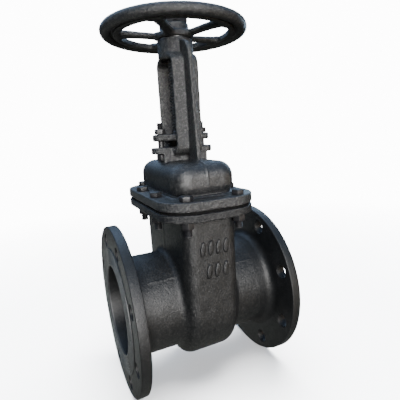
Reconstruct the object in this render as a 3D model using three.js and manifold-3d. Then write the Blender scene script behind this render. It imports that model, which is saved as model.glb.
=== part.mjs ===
// Flanged wedge gate valve with a rising stem, outside screw and yoke.
// Every physical piece is its own closed solid. Units are millimetres and +Z is up.
// X runs along the pipe and the stem stands on Z. Heights are measured from the pipe's axis,
// and the whole group is lifted so that the lowest point of the flanges is at z = 0.

import * as THREE from "three";
import { mergeVertices } from "three/addons/utils/BufferGeometryUtils.js";
import Module from "manifold-3d";

const wasm = await Module();
wasm.setup();

const GAP = 0.3; // clearance kept between neighbouring pieces
const TINY = 0.5; // overlap that makes a join or a cut clean

// Pipe run and its flanges
const FACE_TO_FACE = 280;
const BORE_R = 75;
const NECK_R = 84;
const FLANGE_R = 142.5;
const FLANGE_THICK = 18;
const RAISED_FACE_R = 105.5;
const RAISED_FACE_HEIGHT = 2;
const FLANGE_FILLET = 13;
const FLANGE_BOLT_CIRCLE_R = 120;
const FLANGE_BOLT_HOLE_R = 11.5;
const FLANGE_BOLTS = 8;

// Wedge chamber of the body
const CHAMBER_HALF_X = 45.5;
const CHAMBER_R = 103;
const CHAMBER_EDGE = 16;
const CHAMBER_WALL = 8.5;

// Joint between body and bonnet
const BODY_FLANGE = { halfX: 79.5, halfY: 128.5, corner: 53, bottom: 161, top: 173.1 };
const BONNET_FLANGE = { halfX: 79.2, halfY: 129, corner: 52, bottom: 177.4, top: 191.6 };
const GASKET_INSET = 4;
const BONNET_BOLT_PLACES = [
  [43, 109],
  [66, 38.6],
  [66, -38.6],
  [43, -109],
  [-43, -109],
  [-66, -38.6],
  [-66, 38.6],
  [-43, 109],
];
const M12 = { r: 6, holeR: 6.6, acrossFlats: 18, headHeight: 7.5, nutHeight: 10.8 };
const BONNET_BOLT_TIP = 139;

// Wedge and seats
const SEAT_ANGLE = THREE.MathUtils.degToRad(5);
const WEDGE_HALF_THICK = 18; // at the pipe's axis
const WEDGE_R = 81;
const WEDGE_RING = { innerR: 72.5, outerR: 79.5, thick: 4 };
const SEAT_RING = { innerR: BORE_R, outerR: 83, thick: 9, proud: 4 };
const SEAT_BOSS_R = 90;
const GUIDE_RIB = { halfX: 4, innerY: 85, bottom: -60 };
const GUIDE_EAR = { halfX: 12, outerY: 88, bottom: -18, top: 16 };

// Bonnet dome
const DOME = { halfX: 52, halfY: 97.3, corner: 31, edge: 26, top: 243, wall: 8 };
const PLINTH = { halfX: 54.5, halfY: 100, corner: 33, height: 2.5 };

// Stuffing box and gland
const STEM_R = 14;
const BOX_R = 27.5;
const BOX_FLARE = 9;
const BOX_BORE_R = 22;
const BOX_FLOOR = 249.6;
const BOX_TOP = 267;
const BOX_EAR = { halfX: 53.5, endR: 13, bottom: 255.8, top: 266.6 };
const FORK = { halfX: 42, halfY: 15.5 }; // block under the two ears
const BUSH = { r: 20, bottom: 236.3, top: 241.7 };
const PACKING_RINGS = 3;
const PACKING_HEIGHT = 4;
const GLAND_FLANGE = { halfX: 50.5, endR: 13, middleR: 27, bottom: 277, top: 288 };
const GLAND_BUSH_COLLAR = { r: 24.5, bottom: 273.4 };
const GLAND_BOLT = {
  x: 37.5,
  r: 5,
  slotR: 5.7,
  top: 307,
  acrossFlats: 16,
  headBottom: 245,
  nutHeight: 8.5,
};
const GLAND_HEAD_SPACE_R = 10.8;

// Yoke
const YOKE = {
  innerY: 34,
  outerY: 42,
  halfX: 22.5,
  bottom: 254,
  top: 413,
  bar: 8,
  innerCorner: 12,
  outerCorner: 17,
};
const WEB_HALF_X = 3.5;
const WEB_EDGE = [
  [71.5, 242],
  [68.8, 264],
  [65.6, 314],
  [61.5, 389],
  [59.5, 403],
  [56.5, 414.5],
  [51.5, 422],
  [44.5, 427],
  [35, 430.5],
];
const YOKE_BOSS = { r: 29, bottom: 407, top: 437 };

// Stem nut and handwheel
const STEM_NUT = {
  r: 19.5,
  collarR: 24.5,
  collarBottom: 407,
  collarTop: 413.9,
  seatR: 18,
  threadR: 16.5,
  top: 474,
};
const COUNTERBORE = { r: 25, top: 416 };
const WHEEL_MIDDLE = 449.8;
const RIM_R = 108;
const BEAD_R = 8;
const LIP = { innerR: 87, outerR: 97, bottom: 443, top: 453 };
const HUB = { r: 29, bottom: 439, shoulder: 448.5, collarR: 22.5, top: 461 };
const SPOKES = 5;
const FIRST_SPOKE = THREE.MathUtils.degToRad(17);
const SPOKE_WIDTH = 16;
const KEY = { width: 6, innerR: 15.8, outerR: 20.4, bottom: 440, top: 456 };
const WHEEL_NUT = { acrossFlats: 38, bottom: 461.3, top: 473 };

// Stem
const STEM_TOP = 478;
const STEM_COLLAR = { r: 17.5, bottom: 81.6, top: 86 };
const STEM_NECK_R = 9;
const STEM_HEAD = { halfX: 11.2, halfY: 14, bottom: 62.3, top: 71.7 };

const FAR = 400; // larger than any cut needs

const paint = { color: 0x1b1c1e, roughness: 0.5, metalness: 0.1 };
const blackSteel = { color: 0x232325, roughness: 0.45, metalness: 0.6 };
const steel = { color: 0x9a9ca0, roughness: 0.35, metalness: 0.9 };
const brass = { color: 0xb08d4a, roughness: 0.35, metalness: 0.9 };
const fibre = { color: 0x4a4a48, roughness: 0.9, metalness: 0 };

// ---------------------------------------------------------------- solids

function solid(geometry) {
  const bare = geometry.clone();
  bare.deleteAttribute("normal");
  bare.deleteAttribute("uv");
  const merged = mergeVertices(bare, 1e-4);
  const index = merged.index.array;
  const triVerts = [];
  for (let i = 0; i < index.length; i += 3) {
    const [a, b, c] = index.subarray(i, i + 3);
    if (a !== b && b !== c && c !== a) triVerts.push(a, b, c);
  }
  const vertProperties = new Float32Array(merged.attributes.position.array);
  const mesh = new wasm.Mesh({ numProp: 3, vertProperties, triVerts: new Uint32Array(triVerts) });
  return new wasm.Manifold(mesh);
}

function joined(...solids) {
  return solids.reduce((all, next) => all.add(next));
}

function cut(base, ...tools) {
  return tools.reduce((rest, tool) => rest.subtract(tool), base);
}

function meshOf(name, shape, look) {
  const { vertProperties, triVerts } = shape.getMesh();
  const geometry = new THREE.BufferGeometry();
  geometry.setAttribute("position", new THREE.BufferAttribute(vertProperties, 3));
  geometry.setIndex(new THREE.BufferAttribute(triVerts, 1));
  geometry.computeVertexNormals();
  const mesh = new THREE.Mesh(geometry, new THREE.MeshStandardMaterial(look));
  mesh.name = name;
  return mesh;
}

// A profile of [radius, height] points, turned about Z.
function turned(profile, segments = 24) {
  const points = profile.map(([r, z]) => new THREE.Vector2(r, z));
  return new THREE.LatheGeometry(points, segments).rotateX(Math.PI / 2);
}

function ring(innerR, outerR, bottom, top, segments = 24) {
  const profile = [
    [innerR, bottom],
    [outerR, bottom],
    [outerR, top],
    [innerR, top],
    [innerR, bottom],
  ];
  return turned(profile, segments);
}

function rod(r, bottom, top, segments = 24) {
  return turned([[0, bottom], [r, bottom], [r, top], [0, top]], segments);
}

function rodAlongX(r, from, to, segments = 40) {
  return rod(r, from, to, segments).rotateY(Math.PI / 2);
}

function box(halfX, halfY, bottom, top) {
  return new THREE.BoxGeometry(2 * halfX, 2 * halfY, top - bottom).translate(0, 0, (top + bottom) / 2);
}

function hexagon(acrossFlats, bottom, top) {
  return rod(acrossFlats / Math.sqrt(3), bottom, top, 6);
}

function raised(shape, bottom, top, curveSegments = 3) {
  const options = { depth: top - bottom, bevelEnabled: false, curveSegments };
  return new THREE.ExtrudeGeometry(shape, options).translate(0, 0, bottom);
}

// Extruded with both rims rounded by the edge radius, without leaving the outline or the two heights.
function raisedRound(shape, bottom, top, edge, curveSegments = 3) {
  const options = {
    depth: top - bottom - 2 * edge,
    bevelThickness: edge,
    bevelSize: edge,
    bevelOffset: -edge,
    bevelSegments: 2,
    curveSegments,
  };
  return new THREE.ExtrudeGeometry(shape, options).translate(0, 0, bottom + edge);
}

// Turns a shape drawn in (y, z) and extruded upwards into one that is extruded along X.
function alongX(geometry) {
  const basis = new THREE.Matrix4().makeBasis(
    new THREE.Vector3(0, 1, 0),
    new THREE.Vector3(0, 0, 1),
    new THREE.Vector3(1, 0, 0),
  );
  return geometry.applyMatrix4(basis);
}

function roundedRectangle(halfX, halfY, corner, centreY = 0) {
  const shape = new THREE.Shape();
  const x = halfX - corner;
  const y = halfY - corner;
  shape.absarc(x, centreY + y, corner, 0, Math.PI / 2);
  shape.absarc(-x, centreY + y, corner, Math.PI / 2, Math.PI);
  shape.absarc(-x, centreY - y, corner, Math.PI, 1.5 * Math.PI);
  shape.absarc(x, centreY - y, corner, 1.5 * Math.PI, 2 * Math.PI);
  shape.closePath();
  return shape;
}

// A bar along X with round ends, widened by a disc in its middle.
function eared(halfX, endR, middleR, bottom, top) {
  const bar = solid(raised(roundedRectangle(halfX, endR, endR), bottom, top));
  return middleR ? joined(bar, solid(rod(middleR, bottom, top))) : bar;
}

// ---------------------------------------------------------------- body

function pipeRun() {
  const end = FACE_TO_FACE / 2;
  const back = end - FLANGE_THICK;
  const chamfer = 1;
  const half = [
    [0, -end],
    [RAISED_FACE_R, -end],
    [RAISED_FACE_R, -end + RAISED_FACE_HEIGHT],
    [FLANGE_R - chamfer, -end + RAISED_FACE_HEIGHT],
    [FLANGE_R, -end + RAISED_FACE_HEIGHT + chamfer],
    [FLANGE_R, -back - chamfer],
    [FLANGE_R - chamfer, -back],
  ];
  const arcSteps = 3;
  for (let i = 0; i <= arcSteps; i++) {
    const angle = (i / arcSteps) * (Math.PI / 2);
    half.push([
      NECK_R + FLANGE_FILLET * (1 - Math.sin(angle)),
      -back + FLANGE_FILLET * (1 - Math.cos(angle)),
    ]);
  }
  const otherHalf = half.map(([r, x]) => [r, -x]).reverse();
  return solid(turned([...half, ...otherHalf], 40).rotateY(Math.PI / 2));
}

function flangeBoltHoles() {
  const end = FACE_TO_FACE / 2;
  const holes = [];
  for (const side of [-1, 1]) {
    for (let i = 0; i < FLANGE_BOLTS; i++) {
      const angle = ((i + 0.5) / FLANGE_BOLTS) * 2 * Math.PI;
      const hole = rodAlongX(FLANGE_BOLT_HOLE_R, end - FLANGE_THICK - TINY, end + TINY, 12);
      if (side < 0) hole.rotateZ(Math.PI);
      hole.translate(0, FLANGE_BOLT_CIRCLE_R * Math.cos(angle), FLANGE_BOLT_CIRCLE_R * Math.sin(angle));
      holes.push(solid(hole));
    }
  }
  return holes;
}

// The chamber's U outline in (y, z): a half round bottom and two upright sides.
function chamberOutline(r, top) {
  const shape = new THREE.Shape();
  shape.moveTo(r, top);
  shape.lineTo(-r, top);
  shape.lineTo(-r, 0);
  shape.absarc(0, 0, r, Math.PI, 2 * Math.PI);
  shape.closePath();
  return shape;
}

// A block whose two faces lean by the seat angle, wider at the top.
function leaningBlock(halfThickAtAxis, bottom, top, halfY) {
  const slope = Math.tan(SEAT_ANGLE);
  const outline = new THREE.Shape();
  outline.moveTo(halfThickAtAxis + slope * bottom, bottom);
  outline.lineTo(halfThickAtAxis + slope * top, top);
  outline.lineTo(-halfThickAtAxis - slope * top, top);
  outline.lineTo(-halfThickAtAxis - slope * bottom, bottom);
  outline.closePath();
  return solid(raised(outline, -halfY, halfY).rotateX(Math.PI / 2));
}

// Turns a geometry about Z into one about a seat's leaning axis, on the given side of the wedge.
// The seat plane is the geometry's own z = 0, and its +Z points away from the wedge.
function onSeat(geometry, side) {
  geometry.rotateY(Math.PI / 2 + SEAT_ANGLE);
  geometry.translate(WEDGE_HALF_THICK, 0, 0);
  return side < 0 ? geometry.rotateZ(Math.PI) : geometry;
}

function chamberCavity() {
  const innerR = CHAMBER_R - CHAMBER_WALL;
  const innerHalfX = CHAMBER_HALF_X - CHAMBER_WALL;
  const outline = chamberOutline(innerR, BODY_FLANGE.top + CHAMBER_EDGE);
  const space = solid(alongX(raisedRound(outline, -innerHalfX, innerHalfX, CHAMBER_WALL, 7)));
  const bosses = cut(
    solid(rodAlongX(SEAT_BOSS_R, -CHAMBER_HALF_X, CHAMBER_HALF_X)),
    leaningBlock(WEDGE_HALF_THICK + SEAT_RING.proud, -CHAMBER_R, CHAMBER_R, CHAMBER_R),
  );
  const ribs = [-1, 1].map((side) => {
    const reach = innerR + TINY - GUIDE_RIB.innerY;
    const rib = box(GUIDE_RIB.halfX, reach / 2, GUIDE_RIB.bottom, BODY_FLANGE.top - GAP);
    return solid(rib.translate(0, side * (GUIDE_RIB.innerY + reach / 2), 0));
  });
  return cut(space, bosses, ...ribs);
}

function bonnetBoltHoles(r, bottom, top) {
  return BONNET_BOLT_PLACES.map(([x, y]) => solid(rod(r, bottom, top, 12).translate(x, y, 0)));
}

function valveBody() {
  const outline = chamberOutline(CHAMBER_R, BODY_FLANGE.top + CHAMBER_EDGE);
  const chamber = cut(
    solid(alongX(raisedRound(outline, -CHAMBER_HALF_X, CHAMBER_HALF_X, CHAMBER_EDGE, 7))),
    solid(box(FAR, FAR, BODY_FLANGE.bottom + TINY, FAR)),
  );
  const { halfX, halfY, corner, bottom, top } = BODY_FLANGE;
  const flange = solid(raised(roundedRectangle(halfX, halfY, corner), bottom, top));
  const seatPockets = [-1, 1].map((side) => {
    const pocket = rod(SEAT_RING.outerR + GAP, 0, SEAT_RING.thick + 2 * GAP, 40);
    return solid(onSeat(pocket, side));
  });
  return cut(
    joined(pipeRun(), chamber, flange),
    chamberCavity(),
    solid(rodAlongX(BORE_R, -FAR, FAR)),
    ...seatPockets,
    ...flangeBoltHoles(),
    ...bonnetBoltHoles(M12.holeR, bottom - TINY, top + TINY),
  );
}

function seatRing(side) {
  const { innerR, outerR, thick } = SEAT_RING;
  return solid(onSeat(ring(innerR, outerR, GAP / 2, thick + GAP / 2, 40), side));
}

function bonnetGasket() {
  const { halfX, halfY, corner, bottom } = BONNET_FLANGE;
  const low = BODY_FLANGE.top + GAP;
  const high = bottom - GAP;
  const inset = GASKET_INSET;
  const sheet = solid(raised(roundedRectangle(halfX - inset, halfY - inset, corner - inset), low, high));
  const opening = roundedRectangle(DOME.halfX - DOME.wall, CHAMBER_R - CHAMBER_WALL, CHAMBER_EDGE);
  return cut(
    sheet,
    solid(raised(opening, low - TINY, high + TINY)),
    ...bonnetBoltHoles(M12.holeR, low - TINY, high + TINY),
  );
}

// ---------------------------------------------------------------- wedge and stem

function wedge() {
  const block = leaningBlock(WEDGE_HALF_THICK, -WEDGE_R, WEDGE_R, GUIDE_EAR.outerY);
  const disc = solid(rodAlongX(WEDGE_R, -FAR, FAR)).intersect(block);
  const { halfX, outerY, bottom, top } = GUIDE_EAR;
  const ears = solid(box(halfX, outerY, bottom, top));
  const grooves = [-1, 1].map((side) => {
    const groove = box(GUIDE_RIB.halfX + GAP, 5, -FAR, FAR);
    return solid(groove.translate(0, side * (GUIDE_RIB.innerY - GAP + 5), 0));
  });
  const ringPockets = [-1, 1].map((side) => {
    const { innerR, outerR, thick } = WEDGE_RING;
    const pocket = ring(innerR - GAP, outerR + GAP, -thick - 1.5 * GAP, TINY, 40);
    return solid(onSeat(pocket, side));
  });
  return cut(joined(disc, ears), ...grooves, ...ringPockets, ...stemSlot());
}

// The T slot that the stem's head slides into from the +Y side.
function stemSlot() {
  const from = -STEM_HEAD.halfY - GAP;
  const halfLength = (WEDGE_R - from) / 2;
  const middle = from + halfLength;
  const head = box(STEM_HEAD.halfX + GAP, halfLength, STEM_HEAD.bottom - GAP, STEM_HEAD.top + GAP);
  const neck = box(STEM_NECK_R + GAP, halfLength, STEM_HEAD.top, WEDGE_R + TINY);
  return [head, neck].map((part) => solid(part.translate(0, middle, 0)));
}

function wedgeRing(side) {
  const { innerR, outerR, thick } = WEDGE_RING;
  return solid(onSeat(ring(innerR, outerR, -thick - GAP / 2, -GAP / 2, 40), side));
}

function stem() {
  const chamfer = 2;
  const spindle = turned([
    [0, STEM_HEAD.bottom + TINY],
    [STEM_NECK_R, STEM_HEAD.bottom + TINY],
    [STEM_NECK_R, STEM_COLLAR.bottom],
    [STEM_COLLAR.r, STEM_COLLAR.bottom],
    [STEM_COLLAR.r, STEM_COLLAR.top - 2],
    [STEM_R, STEM_COLLAR.top],
    [STEM_R, STEM_TOP - chamfer],
    [STEM_R - chamfer, STEM_TOP],
    [0, STEM_TOP],
  ]);
  const head = box(STEM_HEAD.halfX, STEM_HEAD.halfY, STEM_HEAD.bottom, STEM_HEAD.top);
  return joined(solid(spindle), solid(head));
}

// ---------------------------------------------------------------- bonnet and yoke

function dome(halfX, halfY, corner, edge, top) {
  const outline = roundedRectangle(halfX, halfY, corner);
  return solid(raisedRound(outline, BONNET_FLANGE.bottom - 2 * edge, top, edge));
}

function yokeFrame() {
  const { innerY, outerY, halfX, bottom, top, bar, innerCorner, outerCorner } = YOKE;
  const middle = (bottom + top) / 2;
  const outline = roundedRectangle(outerY, (top - bottom) / 2, outerCorner, middle);
  outline.holes.push(roundedRectangle(innerY, (top - bottom) / 2 - bar, innerCorner, middle));
  return solid(alongX(raised(outline, -halfX, halfX)));
}

function yokeWeb(side) {
  const spline = new THREE.SplineCurve(WEB_EDGE.map(([y, z]) => new THREE.Vector2(side * y, z)));
  const edge = spline.getPoints(16);
  const inner = [
    [YOKE_BOSS.r - 3, WEB_EDGE.at(-1)[1]],
    [YOKE_BOSS.r - 3, YOKE_BOSS.bottom],
    [YOKE.outerY - 2, YOKE_BOSS.bottom - 10],
    [YOKE.outerY - 2, YOKE.bottom + 10],
    [YOKE.innerY, DOME.top - 5],
    [WEB_EDGE[0][0], DOME.top - 5],
  ];
  const outline = new THREE.Shape([...edge, ...inner.map(([y, z]) => new THREE.Vector2(side * y, z))]);
  return solid(alongX(raised(outline, -WEB_HALF_X, WEB_HALF_X)));
}

function stuffingBox() {
  const profile = [[0, DOME.top - 4], [BOX_R + BOX_FLARE, DOME.top - 4]];
  const arcSteps = 4;
  for (let i = 0; i <= arcSteps; i++) {
    const angle = (i / arcSteps) * (Math.PI / 2);
    profile.push([
      BOX_R + BOX_FLARE * (1 - Math.sin(angle)),
      DOME.top - 1 + BOX_FLARE * (1 - Math.cos(angle)),
    ]);
  }
  profile.push([BOX_R, BOX_TOP - 2], [BOX_R - 2, BOX_TOP], [0, BOX_TOP]);
  return solid(turned(profile));
}

function glandBoltHoles(bottom, top) {
  const { x, slotR } = GLAND_BOLT;
  return [-1, 1].map((side) => solid(rod(slotR, bottom, top, 16).translate(side * x, 0, 0)));
}

// The bonnet's ears have slots in place of holes, open at their ends, so that the bolts can swing out.
function glandBoltSlots(bottom, top) {
  const { x, slotR } = GLAND_BOLT;
  const mouths = [-1, 1].map((side) => solid(box(x / 2, slotR, bottom, top).translate(side * 1.5 * x, 0, 0)));
  return [...glandBoltHoles(bottom, top), ...mouths];
}

// Flats under the ears that leave room for the heads of the gland's bolts.
function glandHeadSpaces() {
  return [-1, 1].map((side) => {
    const space = rod(GLAND_HEAD_SPACE_R, GLAND_BOLT.headBottom - 1, BOX_EAR.bottom, 24);
    return solid(space.translate(side * GLAND_BOLT.x, 0, 0));
  });
}

function bonnet() {
  const { halfX, halfY, corner, bottom, top } = BONNET_FLANGE;
  const flange = solid(raised(roundedRectangle(halfX, halfY, corner), bottom, top));
  const plinth = solid(
    raised(roundedRectangle(PLINTH.halfX, PLINTH.halfY, PLINTH.corner), top - TINY, top + PLINTH.height),
  );
  const outside = cut(
    dome(DOME.halfX, DOME.halfY, DOME.corner, DOME.edge, DOME.top),
    solid(box(FAR, FAR, -FAR, bottom + TINY)),
  );
  const boss = solid(rod(YOKE_BOSS.r, YOKE_BOSS.bottom, YOKE_BOSS.top));
  const ears = eared(BOX_EAR.halfX, BOX_EAR.endR, 0, BOX_EAR.bottom, BOX_EAR.top);
  const fork = solid(box(FORK.halfX, FORK.halfY, DOME.top - DOME.edge, BOX_EAR.bottom + TINY));
  const cover = joined(flange, plinth, outside, stuffingBox(), ears, fork);
  const casting = joined(cover, yokeFrame(), yokeWeb(-1), yokeWeb(1), boss);
  const { wall } = DOME;
  return cut(
    casting,
    dome(DOME.halfX - wall, DOME.halfY - wall, DOME.corner - wall, DOME.edge - wall, DOME.top - wall),
    solid(rod(BUSH.r + GAP, DOME.top - wall - TINY, BUSH.top + GAP)),
    solid(rod(STEM_R + 2 * GAP, BUSH.bottom, BOX_TOP)),
    solid(rod(BOX_BORE_R, BOX_FLOOR, BOX_TOP + TINY)),
    solid(rod(STEM_NUT.r + GAP + 0.1, YOKE.top - YOKE.bar - TINY, YOKE_BOSS.top + TINY)),
    solid(rod(COUNTERBORE.r, YOKE.top - YOKE.bar - TINY, COUNTERBORE.top)),
    ...glandBoltSlots(BOX_EAR.bottom - TINY, BOX_EAR.top + TINY),
    ...glandHeadSpaces(),
    ...bonnetBoltHoles(M12.holeR, bottom - TINY, top + TINY),
  );
}

function backseatBush() {
  return solid(ring(STEM_R + GAP + 0.1, BUSH.r, BUSH.bottom, BUSH.top));
}

// ---------------------------------------------------------------- gland

function packingRing(i) {
  const bottom = BOX_FLOOR + GAP + i * (PACKING_HEIGHT + GAP);
  return solid(ring(STEM_R + GAP + 0.1, BOX_BORE_R - GAP, bottom, bottom + PACKING_HEIGHT));
}

function glandBush() {
  const innerR = STEM_R + GAP + 0.1;
  const spigotR = BOX_BORE_R - GAP;
  const spigotBottom = BOX_FLOOR + GAP + PACKING_RINGS * (PACKING_HEIGHT + GAP);
  const { r, bottom } = GLAND_BUSH_COLLAR;
  const top = GLAND_FLANGE.bottom - GAP;
  const profile = [
    [innerR, spigotBottom],
    [spigotR, spigotBottom],
    [spigotR, bottom],
    [r, bottom],
    [r, top],
    [innerR, top],
    [innerR, spigotBottom],
  ];
  return solid(turned(profile));
}

function glandFlange() {
  const { halfX, endR, middleR, bottom, top } = GLAND_FLANGE;
  return cut(
    eared(halfX, endR, middleR, bottom, top),
    solid(rod(STEM_R + 1.5, bottom - TINY, top + TINY)),
    ...glandBoltHoles(bottom - TINY, top + TINY),
  );
}

function glandBolt(side) {
  const { x, r, top, acrossFlats, headBottom } = GLAND_BOLT;
  const headTop = BOX_EAR.bottom - GAP;
  const bolt = joined(
    solid(hexagon(acrossFlats, headBottom, headTop)),
    solid(rod(r, headTop - TINY, top, 16)),
  );
  return bolt.translate(side * x, 0, 0);
}

function nut(acrossFlats, threadR, bottom, top) {
  const hole = rod(threadR + GAP + 0.1, bottom - TINY, top + TINY, 12);
  return cut(solid(hexagon(acrossFlats, bottom, top)), solid(hole));
}

function glandNut(side) {
  const { x, r, acrossFlats, nutHeight } = GLAND_BOLT;
  const bottom = GLAND_FLANGE.top + GAP;
  return nut(acrossFlats, r, bottom, bottom + nutHeight).translate(side * x, 0, 0);
}

// ---------------------------------------------------------------- bonnet bolts

function bonnetBolt([x, y]) {
  const seat = BONNET_FLANGE.top + GAP;
  const bolt = joined(
    solid(hexagon(M12.acrossFlats, seat, seat + M12.headHeight)),
    solid(rod(M12.r, BONNET_BOLT_TIP, seat + TINY, 12)),
  );
  return bolt.translate(x, y, 0);
}

function bonnetNut([x, y]) {
  const top = BODY_FLANGE.bottom - GAP;
  return nut(M12.acrossFlats, M12.r, top - M12.nutHeight, top).translate(x, y, 0);
}

// ---------------------------------------------------------------- stem nut and handwheel

function stemNut() {
  const innerR = STEM_R + GAP + 0.1;
  const { r, collarR, collarBottom, collarTop, seatR, threadR, top } = STEM_NUT;
  const profile = [
    [innerR, collarBottom],
    [collarR, collarBottom],
    [collarR, collarTop],
    [r, collarTop],
    [r, HUB.bottom - GAP],
    [seatR, HUB.bottom - GAP],
    [seatR, HUB.top],
    [threadR, HUB.top],
    [threadR, top],
    [innerR, top],
    [innerR, collarBottom],
  ];
  return cut(solid(turned(profile)), keySpace(GAP));
}

// The key's own block, grown by a clearance. It lies on the +Y side of the axis.
function keySpace(clearance) {
  const { width, innerR, outerR, bottom, top } = KEY;
  const halfDepth = (outerR - innerR) / 2 + clearance;
  const block = box(width / 2 + clearance, halfDepth, bottom - clearance, top + clearance);
  return solid(block.translate(0, (outerR + innerR) / 2, 0));
}

function thrustWasher() {
  const { r, collarR, collarTop } = STEM_NUT;
  return solid(ring(r + GAP + 0.2, collarR, collarTop + GAP, COUNTERBORE.top - GAP));
}

function hubWasher() {
  return solid(ring(STEM_NUT.r + GAP + 0.2, HUB.r - 3, YOKE_BOSS.top + GAP, HUB.bottom - GAP));
}

// The rim's section: a round bead with a lip inside it and a groove between them underneath.
function wheelRim() {
  const profile = [];
  const arcSteps = 8;
  for (let i = 0; i <= arcSteps; i++) {
    const angle = THREE.MathUtils.degToRad(-150 + (300 * i) / arcSteps);
    profile.push([RIM_R + BEAD_R * Math.cos(angle), WHEEL_MIDDLE + BEAD_R * Math.sin(angle)]);
  }
  profile.push(
    [LIP.outerR, LIP.top],
    [LIP.innerR, LIP.top - 1.5],
    [LIP.innerR, LIP.bottom + 1.5],
    [LIP.outerR - 2, LIP.bottom],
    profile[0],
  );
  return solid(turned(profile, 40));
}

// One spoke along +X, rising from the hub's foot to the middle of the rim.
function spoke() {
  const from = HUB.r - 4;
  const to = LIP.innerR + 3;
  const side = new THREE.Shape();
  side.moveTo(from, HUB.bottom + 0.5);
  side.quadraticCurveTo(from + 24, HUB.bottom + 2, to, WHEEL_MIDDLE - 6);
  side.lineTo(to, WHEEL_MIDDLE + 4);
  side.quadraticCurveTo(from + 24, HUB.shoulder + 3, from, HUB.shoulder - 0.5);
  side.closePath();
  return raisedRound(side, -SPOKE_WIDTH / 2, SPOKE_WIDTH / 2, 3.2).rotateX(Math.PI / 2);
}

function handwheel() {
  const spokes = [];
  for (let i = 0; i < SPOKES; i++) {
    spokes.push(solid(spoke().rotateZ(FIRST_SPOKE + (i / SPOKES) * 2 * Math.PI)));
  }
  const { r, bottom, shoulder, collarR, top } = HUB;
  const hub = [
    [0, bottom],
    [r, bottom],
    [r, shoulder],
    [collarR, shoulder],
    [collarR, top],
    [0, top],
  ];
  const keyway = box(KEY.width / 2 + GAP, KEY.outerR / 2, bottom - TINY, KEY.top + GAP);
  return cut(
    joined(wheelRim(), solid(turned(hub)), ...spokes),
    solid(rod(STEM_NUT.seatR + GAP, bottom - TINY, top + TINY)),
    solid(keyway.translate(0, KEY.outerR / 2 + GAP, 0)),
  );
}

function wheelNut() {
  const { acrossFlats, bottom, top } = WHEEL_NUT;
  return cut(
    solid(hexagon(acrossFlats, bottom, top)),
    solid(rod(STEM_NUT.threadR + GAP, bottom - TINY, top + TINY)),
  );
}

// ---------------------------------------------------------------- assembly

const valve = new THREE.Group();
valve.position.z = FLANGE_R;

valve.add(
  meshOf("body", valveBody(), paint),
  meshOf("seat_ring_inlet", seatRing(-1), brass),
  meshOf("seat_ring_outlet", seatRing(1), brass),
  meshOf("bonnet_gasket", bonnetGasket(), fibre),
  meshOf("bonnet", bonnet(), paint),
  meshOf("backseat_bush", backseatBush(), brass),
  meshOf("gland_bush", glandBush(), brass),
  meshOf("gland_flange", glandFlange(), paint),
  meshOf("wedge", wedge(), paint),
  meshOf("wedge_ring_inlet", wedgeRing(-1), brass),
  meshOf("wedge_ring_outlet", wedgeRing(1), brass),
  meshOf("stem", stem(), steel),
  meshOf("stem_nut", stemNut(), brass),
  meshOf("thrust_washer", thrustWasher(), steel),
  meshOf("hub_washer", hubWasher(), steel),
  meshOf("handwheel", handwheel(), paint),
  meshOf("handwheel_key", keySpace(0), steel),
  meshOf("handwheel_nut", wheelNut(), blackSteel),
);

for (let i = 0; i < PACKING_RINGS; i++) {
  valve.add(meshOf(`packing_ring_${i + 1}`, packingRing(i), fibre));
}

for (const [label, side] of [["left", -1], ["right", 1]]) {
  valve.add(meshOf(`gland_bolt_${label}`, glandBolt(side), blackSteel));
  valve.add(meshOf(`gland_nut_${label}`, glandNut(side), blackSteel));
}

BONNET_BOLT_PLACES.forEach((place, i) => {
  valve.add(meshOf(`bonnet_bolt_${i + 1}`, bonnetBolt(place), blackSteel));
  valve.add(meshOf(`bonnet_nut_${i + 1}`, bonnetNut(place), blackSteel));
});

export default valve;
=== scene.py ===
"""Looks of the flanged gate valve: sand castings, turned flanges, threads and fasteners
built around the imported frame. Shapes are worked out in millimetres from the pipe's axis and
turned into metres of the frame when a mesh is made."""

import math

import bmesh
import bpy
import numpy as np
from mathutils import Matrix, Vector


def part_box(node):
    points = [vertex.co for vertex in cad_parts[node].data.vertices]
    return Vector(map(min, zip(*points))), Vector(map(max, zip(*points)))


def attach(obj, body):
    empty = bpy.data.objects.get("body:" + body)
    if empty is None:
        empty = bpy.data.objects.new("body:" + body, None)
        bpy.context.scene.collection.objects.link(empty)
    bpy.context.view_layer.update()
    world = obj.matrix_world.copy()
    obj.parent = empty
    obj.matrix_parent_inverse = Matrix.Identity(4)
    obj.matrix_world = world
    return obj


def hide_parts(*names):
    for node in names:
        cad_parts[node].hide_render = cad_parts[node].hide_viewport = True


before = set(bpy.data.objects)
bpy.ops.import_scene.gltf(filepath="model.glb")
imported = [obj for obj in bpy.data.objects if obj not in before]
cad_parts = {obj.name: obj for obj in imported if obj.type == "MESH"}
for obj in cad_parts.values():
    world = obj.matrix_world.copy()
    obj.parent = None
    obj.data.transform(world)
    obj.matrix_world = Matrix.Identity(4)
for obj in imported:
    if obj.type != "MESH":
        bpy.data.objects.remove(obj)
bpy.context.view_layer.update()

import openvdb
from mathutils import Matrix, Vector

# ------------------------------------------------------------------ sizes, in millimetres

MM = 0.001
PIPE_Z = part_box("body")[1].y  # the pipe's axis is one flange radius above the lowest point
FINE_STEP = 1.5
WHEEL_STEP = 1.25

BORE_R = 75
NECK_R = 84
FLANGE_R = 142.5
ENDS = (("inlet", -1), ("outlet", 1))
FACE_X = 140
FLANGE_FRONT_X = 138
FLANGE_BACK_X = 122
FLANGE_FILLET = 13
RAISED_FACE_R = 105.5
BOLT_CIRCLE_R = 120
BOLT_HOLE_R = 11.5
SEAM_X = 97  # where the turned flange takes over from the cast neck

CHAMBER_X = 45.5
CHAMBER_R = 103
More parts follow.
